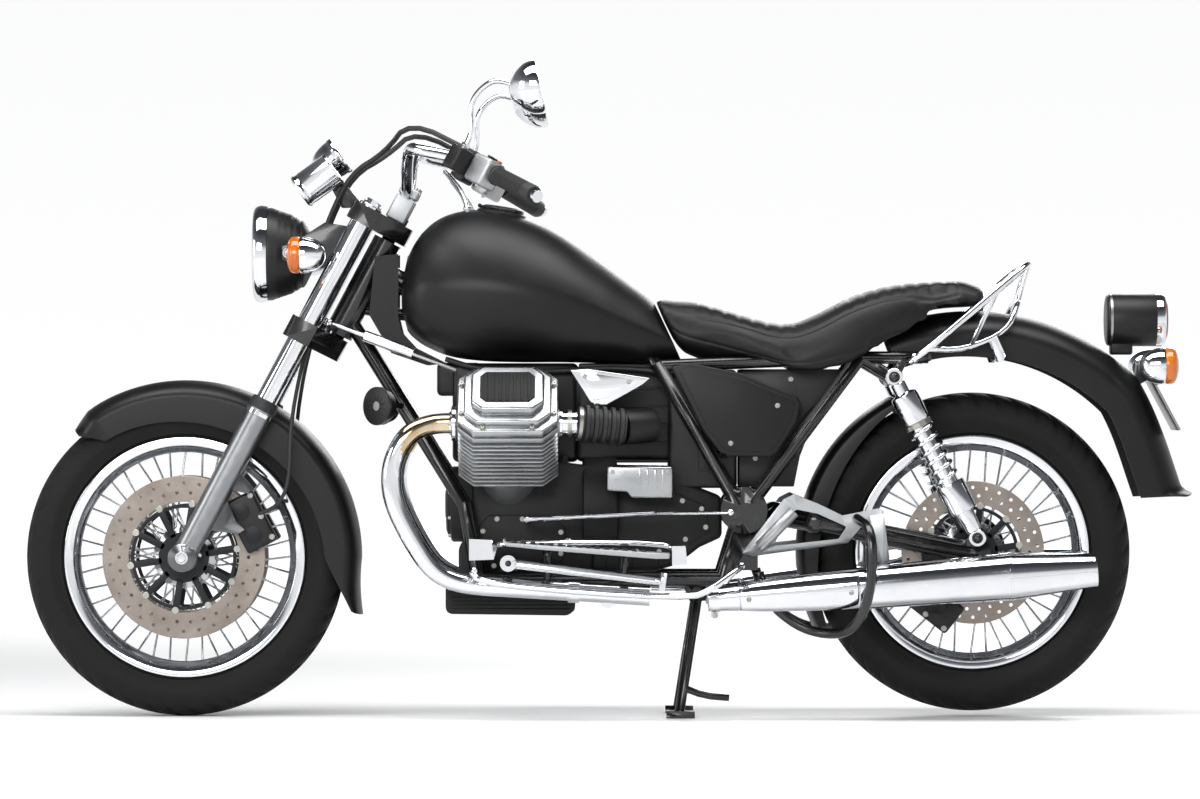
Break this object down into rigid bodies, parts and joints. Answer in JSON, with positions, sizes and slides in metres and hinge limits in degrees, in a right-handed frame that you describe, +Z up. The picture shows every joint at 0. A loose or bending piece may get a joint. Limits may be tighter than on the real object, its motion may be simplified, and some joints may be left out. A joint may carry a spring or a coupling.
{
  "type": "cruiser motorcycle",
  "caption": "Road cruiser motorcycle with a transverse V-twin engine, wire wheels, turning fork and wheels, a low stepped seat and folding stands",
  "frame": {"origin": "on the floor under the middle of the whole motorcycle", "axes": "+Z up, the front faces -Y, the rider's left is +X"},
  "size_m": [0.9356, 2.3146, 1.2865],
  "materials": {
    "black_enamel": "gloss black enamel on steel",
    "satin_black": "satin black paint on pressed steel",
    "engine_black": "black heat-proof paint on cast alloy",
    "cast_alloy": "bead-blasted cast alloy",
    "polished_alloy": "polished cast alloy",
    "fork_alloy": "satin clear-coated alloy",
    "control_alloy": "bright cast alloy",
    "chrome": "bright chrome plate",
    "shock_chrome": "chrome shrouds and springs",
    "spoke_steel": "stainless spokes on a cast hub",
    "disc_steel": "ground stainless steel",
    "seat_cover": "black vinyl leathercloth",
    "tyre": "black road tyre",
    "intake_rubber": "black moulded rubber",
    "grip_rubber": "black ribbed rubber",
    "cable_rubber": "black sheathed cable",
    "lamp_housing": "black textured plastic",
    "horn_black": "black horn with a chrome rim",
    "caliper_black": "black anodised caliper",
    "indicator_lens": "amber lens in a chrome cup",
    "headlamp_glass": "clear lens in a chrome rim",
    "plate_grey": "grey metal plate, blank"
  },
  "bodies": {
    "chassis": {"frame": "black_enamel", "neck_covers": "black_enamel", "swingarm": "black_enamel", "engine_block": "engine_black", "cylinders": "cast_alloy", "rocker_covers": "polished_alloy", "intakes": "intake_rubber", "air_covers": "chrome", "exhaust_pipes": "chrome", "silencers": "chrome", "fuel_tank": "satin_black", "seat": "seat_cover", "side_panels": "satin_black", "rear_mudguard": "satin_black", "grab_rail": "chrome", "tail_lamp": "lamp_housing", "rear_indicators": "indicator_lens", "plate_bracket": "plate_grey", "rear_shocks": "shock_chrome", "footboards": "polished_alloy", "passenger_pegs": "cast_alloy", "foot_pedals": "chrome", "lower_rails": "chrome", "rear_guards": "black_enamel", "horns": "horn_black", "rear_caliper": "caliper_black"},
    "steering": {"fork_tubes": "chrome", "fork_legs": "fork_alloy", "fork_clamps": "black_enamel", "handlebar": "chrome", "grips": "grip_rubber", "hand_controls": "control_alloy", "mirrors": "chrome", "headlamp": "headlamp_glass", "gauges": "chrome", "front_mudguard": "satin_black", "front_indicators": "indicator_lens", "front_calipers": "caliper_black", "cables": "cable_rubber"},
    "front_wheel": {"front_tyre": "tyre", "front_rim": "chrome", "front_hub": "spoke_steel", "front_discs": "disc_steel"},
    "rear_wheel": {"rear_tyre": "tyre", "rear_rim": "chrome", "rear_hub": "spoke_steel", "rear_disc": "disc_steel"},
    "filler_lid": {"filler_lid": "satin_black"},
    "damper_tube": {"damper_tube": "chrome"},
    "damper_rod": {"damper_rod": "chrome"},
    "side_stand": {"side_stand": "chrome"},
    "centre_stand": {"centre_stand": "black_enamel"}
  },
  "joints": [
    {"name": "steering", "type": "hinge", "parent": "chassis", "child": "steering", "pos_m": [0, -0.48783, 0.85292], "axis": [0, 0.4695, 0.8829], "range_deg": [-32, 32]},
    {"name": "front_wheel_spin", "type": "hinge", "parent": "steering", "child": "front_wheel", "pos_m": [0, -0.84127, 0.316], "axis": [1, 0, 0], "continuous": true},
    {"name": "rear_wheel_spin", "type": "hinge", "parent": "chassis", "child": "rear_wheel", "pos_m": [0, 0.71874, 0.326], "axis": [1, 0, 0], "continuous": true},
    {"name": "filler_lid_hinge", "type": "hinge", "parent": "chassis", "child": "filler_lid", "pos_m": [0, -0.25696, 1.01378], "axis": [1, 0, 0], "range_deg": [0, 95]},
    {"name": "damper_swing", "type": "hinge", "parent": "chassis", "child": "damper_tube", "pos_m": [0.09848, -0.3936, 0.72097], "axis": [0.5639, 0.1982, 0.8017], "range_deg": [-3, 3]},
    {"name": "damper_stroke", "type": "slide", "parent": "damper_tube", "child": "damper_rod", "axis": [0.1637, 0.9247, -0.3437], "range_m": [-0.045, 0.045]},
    {"name": "side_stand_swing", "type": "hinge", "parent": "chassis", "child": "side_stand", "pos_m": [0.22, -0.19726, 0.308], "axis": [1, 0, 0], "range_deg": [-105, 0]},
    {"name": "centre_stand_swing", "type": "hinge", "parent": "chassis", "child": "centre_stand", "pos_m": [0, 0.17474, 0.242], "axis": [1, 0, 0], "range_deg": [0, 85]}
  ],
  "couplings": [
    {"joint": "damper_swing", "follows": "steering", "ratio": 0.0902},
    {"joint": "damper_stroke", "follows": "steering", "m_per_rad": 0.0702}
  ]
}
